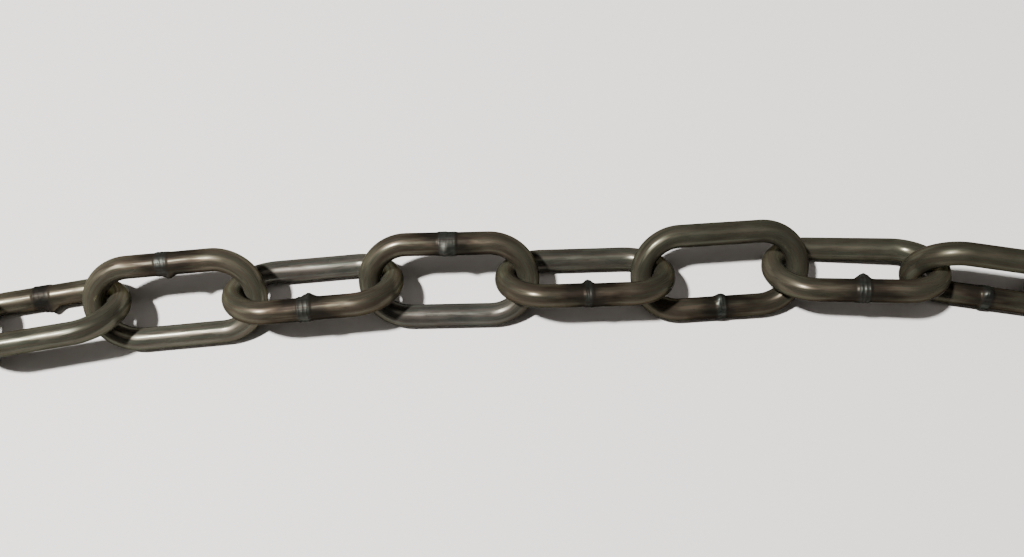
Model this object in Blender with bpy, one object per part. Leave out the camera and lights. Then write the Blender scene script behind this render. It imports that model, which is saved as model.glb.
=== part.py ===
"""A metre of welded round-link steel chain, lying pulled straight on a level floor.

Every link is one piece of round wire, bent to an oval and butt-welded in the
middle of one straight bar. The links lie leaning, each on one of its bars, far
side up and near side up in turn, with crown hooked in crown.

Metres, +Z up, +X along the chain. The floor is z = 0 and the origin is under
the middle of the chain's box.
"""
import math

import bmesh
import bpy
from mathutils import Matrix, Vector

# The link
WIRE = 0.006
INNER_LENGTH = 0.036
INNER_WIDTH = 0.0142
CROWN_RADIUS = (INNER_WIDTH + WIRE) / 2
CROWN_CENTRE = (INNER_LENGTH + WIRE) / 2 - CROWN_RADIUS
APEX = CROWN_CENTRE + CROWN_RADIUS

# The butt weld: an upset collar with a small fin of squeezed-out steel
COLLAR_LENGTH = 0.0036
COLLAR_CREST = 0.0018
COLLAR_SWELL = 1.09
FIN_HEIGHT = 0.0011

# The wire's section is a polygon of the round wire's area, with one flat turned to the floor
WIRE_SIDES = 10
CROWN_STEPS = 8
SIDE_TURN = math.tau / WIRE_SIDES
CORNER_RADIUS = WIRE / 2 * math.sqrt(SIDE_TURN / math.sin(SIDE_TURN))

# How the chain lies: headings in plan and leans to the floor, in degrees
LINKS = 28
ROOT = 13
FIRST_SHOWN = 10
SHOWN_HEADINGS = (10.0, 5.5, 5.3, 1.2, 1.7, 3.9, -3.1, -8.8)
SHOWN_LEANS = (37.7, 41.5, 39.5, 43, 43, 38, 37, 82.5)
SHOWN_WELDS = ("far", "far", "near", "far", "near", "near", "near", "near")
PLAIN_LEAN = 40
HEADING_EASE = 0.75
LOW_WELD_EVERY = 4

# Beside a link that stands nearly on edge, its neighbours' hooked ends ride up on its crowns
STEEP_LEAN = 60
STEEP_RISE = 5.7
STEEP_SIDE_STEP = 0.00035

# Where each weld's fin points: degrees from the inward direction to the link's upper side
SHOWN_FINS = (-56, 20, 54, 66, 55, -16, 54, 5)
PLAIN_FIN = 54

# Hooked crowns: the least distance between the two wires' centre lines
HOOKED_DISTANCE = 0.0066
CROWN_SAMPLES = 48
PLAY_HALVINGS = 12

MERGE = WIRE / 1000
SHARP_EDGE = math.radians(45)

STEEL_COLOR = (0.115, 0.095, 0.07, 1.0)
STEEL_METALLIC = 1.0
STEEL_ROUGHNESS = 0.35


def clear_scene():
    """Remove what the scene holds."""
    for item in list(bpy.data.objects):
        bpy.data.objects.remove(item)


def shown_place(index):
    """Place of a link among the shown ones, negative before them and past the last after them."""
    return index - FIRST_SHOWN


def heading(index):
    """Direction of a link in plan; the run straightens past both ends of the shown stretch."""
    place = shown_place(index)
    last = len(SHOWN_HEADINGS) - 1
    if place < 0:
        return math.radians(SHOWN_HEADINGS[0]) * HEADING_EASE ** -place
    if place > last:
        return math.radians(SHOWN_HEADINGS[last]) * HEADING_EASE ** (place - last)
    return math.radians(SHOWN_HEADINGS[place])


def far_side_up(index):
    """Links lean in turn: far side up, near side up."""
    return index % 2 == 1


def lean(index):
    """Turn of a link about its length, positive with the far side up."""
    place = shown_place(index)
    size = PLAIN_LEAN
    if 0 <= place < len(SHOWN_LEANS):
        size = SHOWN_LEANS[place]
    return math.radians(size if far_side_up(index) else -size)


def weld_on_far_bar(index):
    """Most welds are on the raised bar, some on the low one."""
    place = shown_place(index)
    if 0 <= place < len(SHOWN_WELDS):
        return SHOWN_WELDS[place] == "far"
    return far_side_up(index) != (index % LOW_WELD_EVERY == 0)


def fin_turn(index):
    """Direction of the weld's fin round the wire."""
    place = shown_place(index)
    if 0 <= place < len(SHOWN_FINS):
        return math.radians(SHOWN_FINS[place])
    return math.radians(PLAIN_FIN)


def steep(index):
    """Whether a link stands nearly on edge."""
    return abs(lean(index)) > math.radians(STEEP_LEAN)


def rise(index):
    """Lift of a link's right end, negative where its left end is the lifted one."""
    if steep(index + 1):
        return math.radians(STEEP_RISE)
    if steep(index - 1):
        return -math.radians(STEEP_RISE)
    return 0.0


def turned(index):
    """Rotation of a link: about its length by the lean, endways by the rise, in plan by the heading."""
    endways = Matrix.Rotation(-rise(index), 4, "Y")
    return Matrix.Rotation(heading(index), 4, "Z") @ endways @ Matrix.Rotation(lean(index), 4, "X")


def rest_height(index, item):
    """Height of a link's centre when its lowest corner touches the floor."""
    turn = turned(index)
    return -min((turn @ vert.co).z for vert in item.data.vertices)


def crown_line(index, end, height):
    """Points along a crown's centre line, from the link's centre in plan; end is +1 or -1."""
    turn = turned(index)
    points = []
    for step in range(CROWN_SAMPLES + 1):
        angle = math.pi * (step / CROWN_SAMPLES - 0.5)
        along = end * (CROWN_CENTRE + CROWN_RADIUS * math.cos(angle))
        across = CROWN_RADIUS * math.sin(angle)
        points.append(turn @ Vector((along, across, 0)) + Vector((0, 0, height)))
    return points


def side_step(index):
    """Sideways step to the next link: a steep link seats toward its neighbours' raised side."""
    if steep(index + 1):
        return -STEEP_SIDE_STEP
    if steep(index):
        return STEEP_SIDE_STEP
    return 0.0


def next_centre(index, centre, heights):
    """Centre in plan of the link after this one, with the two crowns pulled tight."""
    here = turned(index) @ Vector((APEX, 0, 0))
    there = turned(index + 1) @ Vector((APEX, 0, 0))
    span = Vector((here.x + there.x, here.y + there.y, 0))
    along = span.normalized()
    span += Vector((-along.y, along.x, 0)) * side_step(index)
    mine = crown_line(index, 1, heights[index])
    theirs = crown_line(index + 1, -1, heights[index + 1])
    tight, loose = 0.0, 2 * WIRE
    for _ in range(PLAY_HALVINGS):
        play = (tight + loose) / 2
        step = span - along * play
        if min((m - t - step).length for m in mine for t in theirs) < HOOKED_DISTANCE:
            tight = play
        else:
            loose = play
    return centre + span - along * loose


def link_places(links):
    """World matrix of every link, before the chain is centred."""
    heights = [rest_height(index, item) for index, item in enumerate(links)]
    places = []
    centre = Vector((0, 0, 0))
    for index, height in enumerate(heights):
        places.append(Matrix.Translation(centre + Vector((0, 0, height))) @ turned(index))
        if index + 1 < LINKS:
            centre = next_centre(index, centre, heights)
    return places


def start_ring(mesh, index):
    """The wire's section at one end of the welded bar, with a flat that will face the floor."""
    first_corner = math.pi / 2
    floor_side = abs(lean(index)) - math.pi / 2
    phase = floor_side - SIDE_TURN / 2 - first_corner
    # Section frame: x outward from the link, y along its normal, z along the bar
    section = Matrix(((0, 0, 1), (1, 0, 0), (0, 1, 0))).to_4x4()
    where = Matrix.Translation((-CROWN_CENTRE, CROWN_RADIUS, 0)) @ section @ Matrix.Rotation(phase, 4, "Z")
    made = bmesh.ops.create_circle(mesh, cap_ends=False, radius=CORNER_RADIUS,
                                   segments=WIRE_SIDES, matrix=where)
    return list({edge for vert in made["verts"] for edge in vert.link_edges})


def ring_corners(edges):
    """The corners of a ring of edges."""
    return list({vert for edge in edges for vert in edge.verts})


def extrude_ring(mesh, edges, step, swell=1.0):
    """Carry a ring along the bar, and scale it about the wire's centre line."""
    made = bmesh.ops.extrude_edge_only(mesh, edges=edges)["geom"]
    new_edges = [item for item in made if isinstance(item, bmesh.types.BMEdge) and item.is_boundary]
    corners = ring_corners(new_edges)
    bmesh.ops.translate(mesh, verts=corners, vec=(step, 0, 0))
    middle = sum((vert.co for vert in corners), Vector()) / len(corners)
    bmesh.ops.scale(mesh, verts=corners, vec=(1, swell, swell), space=Matrix.Translation(-middle))
    return new_edges


def spin_crown(mesh, edges, end):
    """Bend a ring half a turn round a crown."""
    made = bmesh.ops.spin(mesh, geom=edges + ring_corners(edges), cent=(end * CROWN_CENTRE, 0, 0),
                          axis=(0, 0, 1), angle=-math.pi, steps=CROWN_STEPS, use_merge=False)
    return [item for item in made["geom_last"] if isinstance(item, bmesh.types.BMEdge)]


def raise_fin(mesh, index):
    """Pull the collar's corners that lie nearest the fin's direction out along it."""
    turn = fin_turn(index)
    way = Vector((0, -math.cos(turn), math.sin(turn)))
    for crest in (-COLLAR_CREST / 2, COLLAR_CREST / 2):
        ring = [vert for vert in mesh.verts if abs(vert.co.x - crest) < MERGE and vert.co.y > 0]
        max(ring, key=lambda vert: vert.co.dot(way)).co += way * FIN_HEIGHT


def link_mesh(index):
    """A link about its own centre: X along it, Y across it, Z along its normal."""
    mesh = bmesh.new()
    bar = 2 * CROWN_CENTRE
    plain = (bar - COLLAR_LENGTH) / 2
    shoulder = (COLLAR_LENGTH - COLLAR_CREST) / 2
    ring = start_ring(mesh, index)
    ring = extrude_ring(mesh, ring, plain)
    ring = extrude_ring(mesh, ring, shoulder, COLLAR_SWELL)
    ring = extrude_ring(mesh, ring, COLLAR_CREST)
    ring = extrude_ring(mesh, ring, shoulder, 1 / COLLAR_SWELL)
    ring = extrude_ring(mesh, ring, plain)
    ring = spin_crown(mesh, ring, 1)
    ring = extrude_ring(mesh, ring, -bar)
    spin_crown(mesh, ring, -1)
    raise_fin(mesh, index)
    bmesh.ops.remove_doubles(mesh, verts=mesh.verts, dist=MERGE)
    bmesh.ops.recalc_face_normals(mesh, faces=mesh.faces)
    if not weld_on_far_bar(index):
        bmesh.ops.rotate(mesh, verts=mesh.verts, cent=(0, 0, 0), matrix=Matrix.Rotation(math.pi, 3, "Z"))
    return mesh


def steel(name):
    """Bright drawn steel under a thin brown oxide."""
    material = bpy.data.materials.new(name)
    material.use_nodes = True
    shader = material.node_tree.nodes["Principled BSDF"]
    shader.inputs["Base Color"].default_value = STEEL_COLOR
    shader.inputs["Metallic"].default_value = STEEL_METALLIC
    shader.inputs["Roughness"].default_value = STEEL_ROUGHNESS
    return material


def link_object(index):
    """One link as a named object."""
    name = f"link_{index + 1:02d}"
    solid = link_mesh(index)
    mesh = bpy.data.meshes.new(name)
    solid.to_mesh(mesh)
    solid.free()
    mesh.shade_smooth()
    mesh.set_sharp_from_angle(angle=SHARP_EDGE)
    mesh.materials.append(steel(f"steel_{index + 1:02d}"))
    item = bpy.data.objects.new(name, mesh)
    bpy.context.collection.objects.link(item)
    return item


def parent_of(index):
    """The neighbour that carries a link, and the end of it that does."""
    return (index - 1, 1) if index > ROOT else (index + 1, -1)


def crown_pivot(places, index):
    """Frame that a link rolls on: Y along its neighbour's crown, origin where the two are hooked.

    The neighbour's wire lies between its own apex and the seat in the link's crown.
    """
    parent, end = parent_of(index)
    apex = places[parent] @ Vector((end * APEX, 0, 0))
    seat = places[index] @ Vector((-end * (APEX - HOOKED_DISTANCE), 0, 0))
    frame = places[parent].copy()
    frame.translation = (apex + seat) / 2
    return frame


def attach(item, parent, place, parent_place):
    """Put an object at a world place, under its parent."""
    item.parent = parent
    item.matrix_basis = parent_place.inverted() @ place


def centred(places, links):
    """Shift the places so that the chain's box is centred on the origin in plan."""
    corners = [places[index] @ vert.co for index, item in enumerate(links) for vert in item.data.vertices]
    low_x, high_x = min(c.x for c in corners), max(c.x for c in corners)
    low_y, high_y = min(c.y for c in corners), max(c.y for c in corners)
    shift = Matrix.Translation((-(low_x + high_x) / 2, -(low_y + high_y) / 2, 0))
    return [shift @ place for place in places]


def build_chain():
    """Make the links and hang each on the crown of its neighbour towards the root."""
    links = [link_object(index) for index in range(LINKS)]
    places = centred(link_places(links), links)
    links[ROOT].matrix_basis = places[ROOT]
    outward = list(range(ROOT + 1, LINKS)) + list(range(ROOT - 1, -1, -1))
    for index in outward:
        parent, _ = parent_of(index)
        pivot = bpy.data.objects.new(f"pivot_{index + 1:02d}", None)
        pivot.empty_display_size = WIRE
        bpy.context.collection.objects.link(pivot)
        pivot_place = crown_pivot(places, index)
        attach(pivot, links[parent], pivot_place, places[parent])
        attach(links[index], pivot, places[index], pivot_place)
    return places


clear_scene()
LINK_PLACES = build_chain()
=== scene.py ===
# A metre of welded round-wire steel chain, pulled straight on a pale floor.
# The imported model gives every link's place. The pieces here are the wire and the welds in detail.
import math
import random

import bmesh
import bpy
import numpy as np
from mathutils import Matrix, Vector, noise


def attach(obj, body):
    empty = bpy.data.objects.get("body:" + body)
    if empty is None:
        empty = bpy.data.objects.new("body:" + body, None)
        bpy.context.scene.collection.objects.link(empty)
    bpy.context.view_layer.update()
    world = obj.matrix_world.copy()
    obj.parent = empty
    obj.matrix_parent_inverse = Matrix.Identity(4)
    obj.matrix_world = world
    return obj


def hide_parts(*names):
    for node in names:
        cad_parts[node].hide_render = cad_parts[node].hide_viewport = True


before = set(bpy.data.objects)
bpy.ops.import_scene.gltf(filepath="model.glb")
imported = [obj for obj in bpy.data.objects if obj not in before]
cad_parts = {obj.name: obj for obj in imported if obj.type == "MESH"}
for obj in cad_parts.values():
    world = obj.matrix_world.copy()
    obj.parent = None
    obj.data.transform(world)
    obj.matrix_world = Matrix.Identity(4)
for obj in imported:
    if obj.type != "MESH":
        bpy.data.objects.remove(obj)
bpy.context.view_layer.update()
linkNames = sorted(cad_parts)
print("frame loaded,", len(linkNames), "links")

millimetre = 0.001

# Camera, from the photograph's own fit: metres and degrees
cameraView = {
    "target": (-0.00044, 0.01731, 0.0),
    "distance": 0.2559,
    "elevation": 70.31,
    "azimuth": -0.03,
    "roll": -0.02,
    "lens": 33.11,
    "sensor": 36.0,
    "nearest": 0.01,
}


def placeCamera(view):
    data = bpy.data.cameras.new("photographView")
    data.lens = view["lens"]
    data.sensor_width = view["sensor"]
    data.clip_start = view["nearest"]
    camera = bpy.data.objects.new("photographView", data)
    bpy.context.scene.collection.objects.link(camera)
    turn = Matrix.Rotation(math.radians(view["azimuth"]), 4, "Z")
    tilt = Matrix.Rotation(math.radians(90 - view["elevation"]), 4, "X")
    roll = Matrix.Rotation(math.radians(view["roll"]), 4, "Z")
    back = Matrix.Translation((0, 0, view["distance"]))
    camera.matrix_world = Matrix.Translation(view["target"]) @ turn @ tilt @ back @ roll
    bpy.context.scene.camera = camera


placeCamera(cameraView)
print("camera placed")

# Lamp high on the left, as the photograph's shadows show, and two soft panels: overhead and low on the left
studioLights = {
    "lamp": {
        "place": (-0.683, -0.072, 1.549),
        "size": 0.11,
        "power": 89.0,
        "color": (1.0, 0.985, 0.965),
    },
    "panel": {
        "place": (0.15, 0.0, 1.5),
        "size": 1.15,
        "power": 3.0,
        "color": (1.0, 0.93, 0.86),
    },
    "side": {
        "place": (-1.2, -0.05, 0.66),
        "size": 0.9,
        "power": 3.6,
        "color": (1.0, 0.93, 0.86),
    },
}
roomFill = {
    "color": (1.0, 0.95, 0.9, 1),
    "strength": 0.02,
}


def addLight(name, settings):
    data = bpy.data.lights.new(name, "AREA")
    data.shape = "DISK"
    data.size = settings["size"]
    data.energy = settings["power"]
    data.color = settings["color"]
    light = bpy.data.objects.new(name, data)
    bpy.context.scene.collection.objects.link(light)
    light.location = settings["place"]
    light.rotation_mode = "QUATERNION"
    light.rotation_quaternion = Vector(settings["place"]).to_track_quat("Z", "Y")


def fillRoom(settings):
    world = bpy.data.worlds.new("fill")
    world.use_nodes = True
    sky = world.node_tree.nodes["Background"]
    sky.inputs["Color"].default_value = settings["color"]
    sky.inputs["Strength"].default_value = settings["strength"]
    bpy.context.scene.world = world


for lightName, lightSettings in studioLights.items():
    addLight(lightName, lightSettings)
fillRoom(roomFill)
print("lights placed")

colorMixInputs = (0, 6, 7)   # the Mix node's share and its two colours
colorMixResult = 2


def plug(tree, socket, value):
    if isinstance(value, bpy.types.NodeSocket):
        tree.links.new(value, socket)
    else:
        socket.default_value = value


def addNode(tree, kind, inputs=None, **settings):
    made = tree.nodes.new(kind)
    for name, value in settings.items():
        setattr(made, name, value)
    for name, value in (inputs or {}).items():
        plug(tree, made.inputs[name], value)
    return made


def calculate(tree, operation, *values, clamp=False):
    made = addNode(tree, "ShaderNodeMath", operation=operation, use_clamp=clamp)
    for socket, value in zip(made.inputs, values):
        plug(tree, socket, value)
    return made.outputs[0]


def mixColors(tree, share, first, second, blend="MIX"):
    made = addNode(tree, "ShaderNodeMix", data_type="RGBA", blend_type=blend)
    for index, value in zip(colorMixInputs, (share, first, second)):
        plug(tree, made.inputs[index], value)
    return made.outputs[colorMixResult]


def remap(tree, value, low, high, outLow=0.0, outHigh=1.0):
    spans = {"Value": value, "From Min": low, "From Max": high, "To Min": outLow, "To Max": outHigh}
    made = addNode(tree, "ShaderNodeMapRange", spans, interpolation_type="SMOOTHSTEP")
    return made.outputs["Result"]


def readAttribute(tree, name, output="Fac"):
    return addNode(tree, "ShaderNodeAttribute", attribute_name=name).outputs[output]


# Floor: a plain pale board
floorBoard = {
    "size": 8.0,
    "color": (0.665, 0.65, 0.64, 1),
    "roughness": 0.6,
}


def floorMaterial(settings):
    material = bpy.data.materials.new("paleBoard")
    material.use_nodes = True
    shader = material.node_tree.nodes["Principled BSDF"]
    shader.inputs["Base Color"].default_value = settings["color"]
    shader.inputs["Roughness"].default_value = settings["roughness"]
    return material


def makeFloor(settings):
    mesh = bmesh.new()
    bmesh.ops.create_grid(mesh, x_segments=1, y_segments=1, size=settings["size"] / 2)
    data = bpy.data.meshes.new("paleFloor")
    mesh.to_mesh(data)
    mesh.free()
    data.materials.append(floorMaterial(settings))
    floor = bpy.data.objects.new("paleFloor", data)
    bpy.context.scene.collection.objects.link(floor)


makeFloor(floorBoard)
print("floor laid")

# The wire's shape, in millimetres: half sizes are to the wire's centre line
wireShape = {
    "radius": 3.0,
    "halfWidth": 10.1,
    "halfLength": 20.62,
    "sides": 60,
    "crownSteps": 48,
    "barStep": 0.8,
    "weldReach": 4.8,     # fine rings on both sides of the weld
    "weldStep": 0.13,
    "mergeWithin": 0.0065,
    "barSlack": 1e-6,     # keeps a bar's last ring on the bar
    "bendSquash": 0.04,   # share by which the bent wire is oval
    "waviness": 0.02,
    "wavinessSize": 7.0,
    "wavinessAround": 0.4,
    "clearOfFloor": 0.01,
}
wireShape["bar"] = wireShape["halfLength"] - wireShape["halfWidth"]
wireShape["round"] = 4 * wireShape["bar"] + math.tau * wireShape["halfWidth"]
# Millimetres added to each half of the links beside the steep one, so that their hooks swing freely
looseHooks = {"link_17": 0.3, "link_18": 0.3, "link_19": 0.3, "link_20": 0.3}


def evenStops(low, high, step):
    count = max(1, round((high - low) / step))
    return [low + (high - low) * index / count for index in range(count + 1)]


def onceEach(items):
    return list(dict.fromkeys(items))  # keeps their order, which a set doesn't


def sortMesh(mesh):
    # Extruding hands back its faces in another order on each run, so they are sorted by their corners
    mesh.verts.index_update()
    count = len(mesh.verts)

    def cornerKey(item):
        first, second = sorted(vert.index for vert in item.verts)[:2]
        return first * count + second

    mesh.edges.sort(key=cornerKey)
    mesh.faces.sort(key=lambda face: cornerKey(face) * count + max(vert.index for vert in face.verts))


def extrudeRing(mesh, edges, step):
    made = bmesh.ops.extrude_edge_only(mesh, edges=edges)["geom"]
    newEdges = [item for item in made if isinstance(item, bmesh.types.BMEdge) and item.is_boundary]
    corners = onceEach(vert for edge in newEdges for vert in edge.verts)
    bmesh.ops.translate(mesh, verts=corners, vec=(step, 0, 0))
    return newEdges


def spinCrown(mesh, edges, end, shape):
    corners = onceEach(vert for edge in edges for vert in edge.verts)
    made = bmesh.ops.spin(mesh, geom=edges + corners, cent=(end * shape["bar"], 0, 0), axis=(0, 0, 1),
                          angle=-math.pi, steps=shape["crownSteps"], use_merge=False)
    return [item for item in made["geom_last"] if isinstance(item, bmesh.types.BMEdge)]


def plainLink(shape):
    # A link of even round wire in millimetres, the bar that gets the weld on +Y
    mesh = bmesh.new()
    bar, reach = shape["bar"], shape["weldReach"]
    section = Matrix(((0, 0, 1), (1, 0, 0), (0, 1, 0))).to_4x4()
    where = Matrix.Translation((-bar, shape["halfWidth"], 0)) @ section
    made = bmesh.ops.create_circle(mesh, cap_ends=False, radius=shape["radius"], segments=shape["sides"],
                                   matrix=where)
    ring = onceEach(edge for vert in made["verts"] for edge in vert.link_edges)
    stops = evenStops(-bar, -reach, shape["barStep"]) + evenStops(-reach, reach, shape["weldStep"])[1:]
    stops += evenStops(reach, bar, shape["barStep"])[1:]
    for before, after in zip(stops, stops[1:]):
        ring = extrudeRing(mesh, ring, after - before)
    ring = spinCrown(mesh, ring, 1, shape)
    stops = evenStops(-bar, bar, shape["barStep"])
    for before, after in zip(stops, stops[1:]):
        ring = extrudeRing(mesh, ring, before - after)
    spinCrown(mesh, ring, -1, shape)
    bmesh.ops.remove_doubles(mesh, verts=mesh.verts, dist=shape["mergeWithin"])
    bmesh.ops.recalc_face_normals(mesh, faces=mesh.faces)
    sortMesh(mesh)
    return mesh


def wireCoordinates(point, shape, ahead):
    # Distance along the wire from the weld, its centre there, and the outward direction in the link's plane
    bar, half = shape["bar"], shape["halfWidth"]
    if abs(point.x) <= bar + shape["barSlack"]:
        side = 1 if point.y > 0 else -1
        centre = Vector((point.x, side * half, 0))
        outward = Vector((0, side, 0))
        if side < 0:
            return 2 * bar + math.pi * half - point.x, centre, outward
        return (point.x if ahead else shape["round"] + point.x), centre, outward
    end = 1 if point.x > 0 else -1
    outward = Vector((point.x - end * bar, point.y, 0)).normalized()
    turned = math.atan2(outward.x, outward.y) % math.tau
    centre = Vector((end * bar, 0, 0)) + outward * half
    start = bar if end > 0 else 3 * bar
    return start + turned * half, centre, outward


plain = plainLink(wireShape)
print("plain link,", len(plain.faces), "faces")

# The butt weld, in millimetres and degrees. Each link draws its own from these ranges.
weldRange = {
    "collarHalf": (1.0, 1.8),
    "collarShift": (-0.6, 0.6),
    "collarSwell": (0.10, 0.18),
    "ridgeHeight": (0.04, 0.08),
    "ridgeShift": (-0.3, 0.3),
    "nibHeight": (0.6, 1.0),
    "nibShift": (-0.6, 0.6),
    "nibTurn": (38, 66),
    "nibLength": (1.8, 2.8),
    "bare": (0.2, 0.8),
    "mismatch": (0.03, 0.12),
}
weldForm = {
    "shoulder": 0.9,
    "ridges": (-0.85, 0.0, 0.8),   # places on the collar, as shares of its half length
    "ridgeWidth": 0.2,
    "ridgeWander": 0.35,
    "wanderAround": 2.0,
    "wanderAlong": 0.5,
    "nibReach": 2.6,
    "nibSharp": 1.2,
    "grain": 0.035,
    "grainSize": 0.8,
    "mismatchRise": 4.0,
    "mismatchFade": 9.0,
    "darkPast": 0.6,               # how far the collar's own colour goes past it, and how softly it ends
    "darkFade": 0.9,
}
# What the photographed welds show; shifts are along +X
seenWelds = {
    "link_11": {"collarHalf": 1.8, "collarShift": -1.0, "nibShift": 0.5,
                "nibTurn": -50, "nibHeight": 1.25, "bare": 0.1},
    "link_12": {"collarHalf": 1.2, "collarShift": -1.1, "nibShift": 0.2,
                "nibTurn": 20, "nibHeight": 0.8, "bare": 0.45},
    "link_13": {"collarHalf": 1.3, "collarShift": -1.0, "nibShift": 0.2,
                "nibTurn": 54, "nibHeight": 0.85, "bare": 0.6},
    "link_14": {"collarHalf": 1.9, "collarShift": 0.0, "nibShift": -0.6,
                "nibTurn": 66, "nibHeight": 0.8, "bare": 0.6, "ridgeHeight": 0.02},
    "link_15": {"collarHalf": 0.7, "collarShift": 0.0, "nibShift": 0.0,
                "nibTurn": 55, "nibHeight": 0.75, "bare": 0.4},
    "link_16": {"collarHalf": 0.9, "collarShift": 0.1, "nibShift": 0.2,
                "nibTurn": 18, "nibHeight": 1.0, "bare": 1.0},
    "link_17": {"collarHalf": 1.2, "collarShift": 0.0, "nibShift": 0.1,
                "nibTurn": 54, "nibHeight": 1.2, "bare": 0.5},
    "link_18": {"collarHalf": 0.9, "collarShift": 1.4, "nibShift": 1.4,
                "nibTurn": 5, "nibHeight": 0.8, "bare": 1.0},
}


def easeStep(value):
    value = min(1.0, max(0.0, value))
    return value * value * (3 - 2 * value)


def drawWeld(name):
    chance = random.Random(name + "weld")
    weld = {key: chance.uniform(*span) for key, span in weldRange.items()}
    weld["mismatchTurn"] = chance.uniform(0, math.tau)
    weld.update(seenWelds.get(name, {}))
    return weld


def weldHeight(along, turn, weld, form, shape, seed):
    # How far the surface stands proud of the plain wire near the weld
    fromCollar = along - weld["collarAlong"]
    inWeld = easeStep((weld["collarHalf"] + form["shoulder"] - abs(fromCollar)) / form["shoulder"])
    wanderX, wanderY = math.cos(turn) * form["wanderAround"], math.sin(turn) * form["wanderAround"]
    rough = noise.noise(Vector((wanderX, wanderY, along * form["wanderAlong"] + seed)))
    ridges = 0.0
    for share in form["ridges"]:
        off = fromCollar - share * weld["collarHalf"] - weld["ridgeShift"] - form["ridgeWander"] * rough
        ridges += weld["ridgeHeight"] * (1 + rough) * math.exp(-((off / form["ridgeWidth"]) ** 2))
    away = (turn - math.radians(weld["nibTurn"]) + math.pi) % math.tau - math.pi
    spread = math.hypot((along - weld["nibAlong"]) / weld["nibLength"],
                        away * shape["radius"] / form["nibReach"])
    nib = weld["nibHeight"] * easeStep(1 - spread) ** form["nibSharp"]
    skin = Vector((math.cos(turn) * shape["radius"], math.sin(turn) * shape["radius"], along + seed))
    grain = form["grain"] * noise.noise(skin / form["grainSize"]) * inWeld
    return weld["collarSwell"] * inWeld + ridges + nib + grain


nodeReading = {
    "crownsPast": 0.008,     # metres from the link's middle, along it
    "collarWithin": 0.003,
}


def nodeFrame(name, reading):
    # A link's own frame from its CAD node: X along, Y towards the weld, Z up from its plane
    points = np.array([vert.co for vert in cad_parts[name].data.vertices])
    rough = points - points.mean(axis=0)
    longWay = np.linalg.svd(rough, full_matrices=False)[2][0]
    crowns = points[abs(rough @ longWay) > reading["crownsPast"]]
    centre = crowns.mean(axis=0)
    longWay, _, normal = np.linalg.svd(crowns - centre, full_matrices=False)[2]
    longWay = longWay * np.sign(longWay[0])
    normal = normal * np.sign(normal[2])
    across = np.cross(normal, longWay)
    local = points - centre
    collar = local[abs(local @ longWay) < reading["collarWithin"]]
    side = float(np.sign((collar @ across).mean()))
    turned = Matrix((longWay * side, across * side, normal)).transposed().to_4x4()
    return Matrix.Translation(Vector(centre)) @ turned, side


def slipShare(along, form):
    # The wire's two ends meet slightly off each other at the weld, which fades out along the bar
    rise = easeStep(abs(along) * form["mismatchRise"])
    fade = easeStep(1 - abs(along) / form["mismatchFade"])
    return math.copysign(rise * fade, along)


def bendWire(mesh, shape, weld, form, seed):
    slip = Vector((0, math.cos(weld["mismatchTurn"]), math.sin(weld["mismatchTurn"]))) * weld["mismatch"]
    for vert in mesh.verts:
        length, centre, outward = wireCoordinates(vert.co, shape, True)
        spoke = (vert.co - centre) / shape["radius"]
        turn = math.atan2(spoke.z, -spoke.dot(outward))
        along = length if length < shape["round"] / 2 else length - shape["round"]
        place = Vector((centre.x, centre.y, 0)) / shape["wavinessSize"] + Vector((0, 0, seed))
        lift = shape["waviness"] * noise.noise(place + spoke * shape["wavinessAround"])
        bent = max(0.0, abs(centre.x) - shape["bar"]) / shape["halfWidth"]
        lift -= shape["bendSquash"] * shape["radius"] * math.cos(2 * turn) * easeStep(bent)
        if abs(along) < shape["weldReach"]:
            lift += weldHeight(along, turn, weld, form, shape, seed)
        vert.co += spoke * lift
        if centre.y > 0 and abs(along) < form["mismatchFade"]:
            vert.co += slip * slipShare(along, form) / 2


def writeAttributes(mesh, shape):
    # In millimetres. wirePlace unbends the wire: across it in X and Y, along it in Z.
    # fromWeld is the distance along it from the weld.
    fromWeld = mesh.loops.layers.float.new("fromWeld")
    wirePlace = mesh.loops.layers.float_vector.new("wirePlace")
    for face in mesh.faces:
        ahead = face.calc_center_median().x > 0
        for loop in face.loops:
            length, centre, outward = wireCoordinates(loop.vert.co, shape, ahead)
            spoke = loop.vert.co - centre
            loop[wirePlace] = Vector((spoke.dot(outward), spoke.z, length))
            loop[fromWeld] = length if ahead else length - shape["round"]


# Steel looks: heat is the weld's colour, grey the bare wire, dull the roughness, tone the brightness. On
# the seen links the tone is partly painted shade: it falls from left to right, darkening the links further
# right as if less light fell on them.
lookRange = {"heat": (0.6, 1.0), "grey": (0.2, 0.9), "dull": (0.2, 0.8), "tone": (0.6, 1.0)}
# Their tone values are partly painted shade, lower towards the right of the chain
seenLooks = {
    "link_11": {"heat": 0.35, "grey": 0.3, "dull": 0.2, "tone": 1.0},
    "link_12": {"heat": 0.8, "grey": 0.5, "dull": 0.2, "tone": 1.1},
    "link_13": {"heat": 1.0, "grey": 0.9, "dull": 0.5, "tone": 1.0},
    "link_14": {"heat": 1.0, "grey": 1.0, "dull": 0.5, "tone": 0.88},
    "link_15": {"heat": 0.9, "grey": 0.6, "dull": 0.5, "tone": 0.76},
    "link_16": {"heat": 0.9, "grey": 0.1, "dull": 0.6, "tone": 0.66},
    "link_17": {"heat": 0.8, "grey": 0.1, "dull": 0.5, "tone": 0.75},
    "link_18": {"heat": 0.7, "grey": 0.0, "dull": 0.5, "tone": 0.65},
}


def drawLook(name):
    chance = random.Random(name + "look")
    look = {key: chance.uniform(*span) for key, span in lookRange.items()}
    look.update(seenLooks.get(name, {}))
    return look


# Each pattern's scale across the wire and along it, and its detail
streakPatterns = {
    "Streak": {"scale": (1.7, 1.7, 0.07), "detail": 3.0},
    "Mark": {"scale": (1.1, 1.1, 0.2), "detail": 2.0},
    "Cloud": {"scale": (0.32, 0.32, 0.10), "detail": 3.0},
}
noiseMiddle = 0.5


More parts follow.
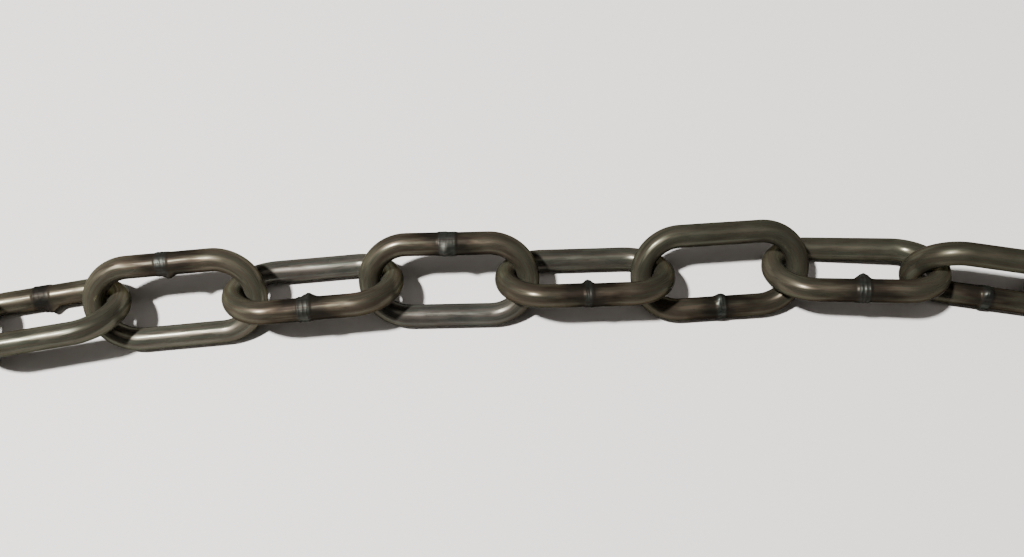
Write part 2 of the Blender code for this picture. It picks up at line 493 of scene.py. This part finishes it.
def streakGroup(patterns):
    # Lines that run along the drawn wire, short marks broken out of them, and soft clouds
    group = bpy.data.node_groups.new("drawnStreaks", "ShaderNodeTree")
    group.interface.new_socket("Place", in_out="INPUT", socket_type="NodeSocketVector")
    for name in patterns:
        group.interface.new_socket(name, in_out="OUTPUT", socket_type="NodeSocketFloat")
    entry = addNode(group, "NodeGroupInput")
    leave = addNode(group, "NodeGroupOutput")
    for name, pattern in patterns.items():
        stretched = addNode(group, "ShaderNodeMapping",
                            {"Vector": entry.outputs["Place"], "Scale": pattern["scale"]})
        spots = addNode(group, "ShaderNodeTexNoise",
                        {"Vector": stretched.outputs[0], "Scale": 1.0, "Detail": pattern["detail"]})
        group.links.new(spots.outputs["Fac"], leave.inputs[name])
    return group


# The oxide film leaves the steel dark and only part metal; edgeTint keeps its rims dark.
# Places are millimetres from the weld. Spans of four map the first two values to the last two.
steelFinish = {
    "grey": (0.074, 0.071, 0.065, 1),
    "olive": (0.071, 0.067, 0.051, 1),
    "gold": (0.064, 0.055, 0.043, 1),
    "bronze": (0.040, 0.033, 0.025, 1),
    "scale": (0.018, 0.016, 0.014, 1),
    "collar": (0.066, 0.071, 0.067, 1),
    "greyFrom": (22.0, 46.0),
    "goldWithin": (24.0, 12.0),
    "bronzeWithin": (11.0, 6.0),
    "scaleWithin": (7.0, 3.0),
    "heatCover": {"gold": 1.0, "bronze": 1.0, "scale": 0.8},
    "cloudPush": 16.0,
    "streakPush": 9.0,
    "bareMarks": (0.35, 0.6, 0.3, 1.0),
    "warmStreak": (1.07, 0.98, 0.93, 1),
    "coolStreak": (0.94, 1.02, 0.96, 1),
    "streakSpan": (0.38, 0.62),
    "mottleCloud": 0.6,
    "mottleStreak": 0.4,
    "mottleSpan": (0.35, 0.65, 0.77, 1.2),
    "metallic": 0.63,
    "collarMetallic": 0.9,
    "edgeTint": (0.3, 0.3, 0.3, 1),
    "glossSpan": (0.85, 1.15, 0.37, 0.21),
    "lookDull": 0.06,
    "bronzeDull": 0.13,
    "scaleGloss": 0.5,
    "markHeight": 0.5,
    "bumpStrength": 0.5,
    "bumpDistance": 0.00006,
}


def pushEdge(tree, distance, pattern, reach):
    centred = calculate(tree, "SUBTRACT", pattern, noiseMiddle)
    return calculate(tree, "MULTIPLY_ADD", centred, reach, distance)


def steelMaterial(finish):
    material = bpy.data.materials.new("drawnSteel")
    material.use_nodes = True
    tree = material.node_tree
    shader = tree.nodes["Principled BSDF"]
    looks = addNode(tree, "ShaderNodeSeparateXYZ", {"Vector": readAttribute(tree, "linkLook", "Vector")})
    heat, grey, dull = looks.outputs["X"], looks.outputs["Y"], looks.outputs["Z"]
    streaks = addNode(tree, "ShaderNodeGroup", node_tree=streakGroup(streakPatterns))
    tree.links.new(readAttribute(tree, "wirePlace", "Vector"), streaks.inputs["Place"])
    streak, mark, cloud = (streaks.outputs[name] for name in ("Streak", "Mark", "Cloud"))

    # Heat colours round the weld, their edges pushed about by the cloud and the streaks
    away = calculate(tree, "ABSOLUTE", readAttribute(tree, "fromWeld"))
    pushed = pushEdge(tree, away, cloud, finish["cloudPush"])
    pushed = pushEdge(tree, pushed, streak, finish["streakPush"])
    greyShare = calculate(tree, "MULTIPLY", remap(tree, away, *finish["greyFrom"]), grey)
    base = mixColors(tree, greyShare, finish["olive"], finish["grey"])
    shares = {}
    for name, cover in finish["heatCover"].items():
        strength = calculate(tree, "MULTIPLY", heat, cover)
        near = remap(tree, pushed, *finish[name + "Within"])
        shares[name] = calculate(tree, "MULTIPLY", near, strength)
        base = mixColors(tree, shares[name], base, finish[name])

    # The collar is dark with scale, and worn bare in marks
    onCollar = readAttribute(tree, "onCollar")
    bareMarks = remap(tree, mark, *finish["bareMarks"])
    bare = calculate(tree, "MULTIPLY", readAttribute(tree, "bareCollar"), bareMarks)
    base = mixColors(tree, bare, mixColors(tree, onCollar, base, finish["scale"]), finish["collar"])

    # Warm and cool streaks, then light and dark patches scaled by the link's tone, which on the seen links
    # also paints shade that darkens them towards the right
    tintShare = remap(tree, streak, *finish["streakSpan"])
    tint = mixColors(tree, tintShare, finish["warmStreak"], finish["coolStreak"])
    base = mixColors(tree, 1.0, base, tint, "MULTIPLY")
    streakPart = calculate(tree, "MULTIPLY", streak, finish["mottleStreak"])
    mottle = calculate(tree, "MULTIPLY_ADD", cloud, finish["mottleCloud"], streakPart)
    light = calculate(tree, "MULTIPLY", remap(tree, mottle, *finish["mottleSpan"]),
                      readAttribute(tree, "linkToneAndShade"))
    tree.links.new(mixColors(tree, 1.0, base, light, "MULTIPLY"), shader.inputs["Base Color"])

    gloss = remap(tree, calculate(tree, "ADD", streak, mark), *finish["glossSpan"])
    gloss = calculate(tree, "MULTIPLY_ADD", dull, finish["lookDull"], gloss)
    gloss = calculate(tree, "MULTIPLY_ADD", shares["bronze"], finish["bronzeDull"], gloss)
    scaled = calculate(tree, "SUBTRACT", onCollar, bare, clamp=True)
    roughness = addNode(tree, "ShaderNodeMix", {"Factor": scaled, "A": gloss, "B": finish["scaleGloss"]})
    tree.links.new(roughness.outputs["Result"], shader.inputs["Roughness"])

    moreMetal = finish["collarMetallic"] - finish["metallic"]
    metallic = calculate(tree, "MULTIPLY_ADD", bare, moreMetal, finish["metallic"])
    tree.links.new(metallic, shader.inputs["Metallic"])
    shader.inputs["Specular IOR Level"].default_value = 0.0
    shader.inputs["Specular Tint"].default_value = finish["edgeTint"]
    height = calculate(tree, "ADD", streak, calculate(tree, "MULTIPLY", mark, finish["markHeight"]))
    bump = addNode(tree, "ShaderNodeBump", {"Height": height, "Strength": finish["bumpStrength"],
                                            "Distance": finish["bumpDistance"]})
    tree.links.new(bump.outputs["Normal"], shader.inputs["Normal"])
    return material


writeAttributes(plain, wireShape)
drawnSteel = steelMaterial(steelFinish)
print("steel finish made")

# How far apart two neighbours read the noise, so that no two links are alike
linkSteps = {
    "finish": 131.0,
    "shape": 7.3,
}


def shiftFinish(mesh, distance):
    wirePlace = mesh.loops.layers.float_vector["wirePlace"]
    for face in mesh.faces:
        for loop in face.loops:
            loop[wirePlace] += Vector((0, 0, distance))


def paintLink(mesh, look, weld, form, shape):
    linkLook = mesh.verts.layers.float_vector.new("linkLook")
    linkToneAndShade = mesh.verts.layers.float.new("linkToneAndShade")
    onCollar = mesh.verts.layers.float.new("onCollar")
    bareCollar = mesh.verts.layers.float.new("bareCollar")
    for vert in mesh.verts:
        vert[linkLook] = Vector((look["heat"], look["grey"], look["dull"]))
        # The tone is partly the link's own and partly painted shade, darker on links further right
        vert[linkToneAndShade] = look["tone"]
        if vert.co.y > 0 and abs(vert.co.x) < shape["weldReach"]:
            past = weld["collarHalf"] + form["darkPast"] - abs(vert.co.x - weld["collarAlong"])
            vert[onCollar] = easeStep(past / form["darkFade"])
            vert[bareCollar] = vert[onCollar] * weld["bare"]


def stretchLink(mesh, extra, bar):
    for vert in mesh.verts:
        share = max(-1.0, min(1.0, vert.co.x / bar))
        vert.co.x += extra * share


def makeLink(name, order):
    where, side = nodeFrame(name, nodeReading)
    weld = drawWeld(name)
    weld["collarAlong"] = weld["collarShift"] * side
    weld["nibAlong"] = weld["nibShift"] * side
    mesh = plain.copy()
    shiftFinish(mesh, order * linkSteps["finish"])
    paintLink(mesh, drawLook(name), weld, weldForm, wireShape)
    bendWire(mesh, wireShape, weld, weldForm, order * linkSteps["shape"])
    stretchLink(mesh, looseHooks.get(name, 0.0), wireShape["bar"])
    bmesh.ops.transform(mesh, matrix=where @ Matrix.Scale(millimetre, 4), verts=mesh.verts)
    for vert in mesh.verts:
        vert.co.z = max(vert.co.z, wireShape["clearOfFloor"] * millimetre)  # flat where it rests
    number = name.split("_")[1]
    data = bpy.data.meshes.new("chainLink" + number)
    mesh.to_mesh(data)
    mesh.free()
    data.shade_smooth()
    data.materials.append(drawnSteel)
    piece = bpy.data.objects.new("chainLink" + number, data)
    bpy.context.scene.collection.objects.link(piece)
    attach(piece, name)
    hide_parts(name)


for order, name in enumerate(linkNames):
    makeLink(name, order)
print("links made:", len(linkNames))
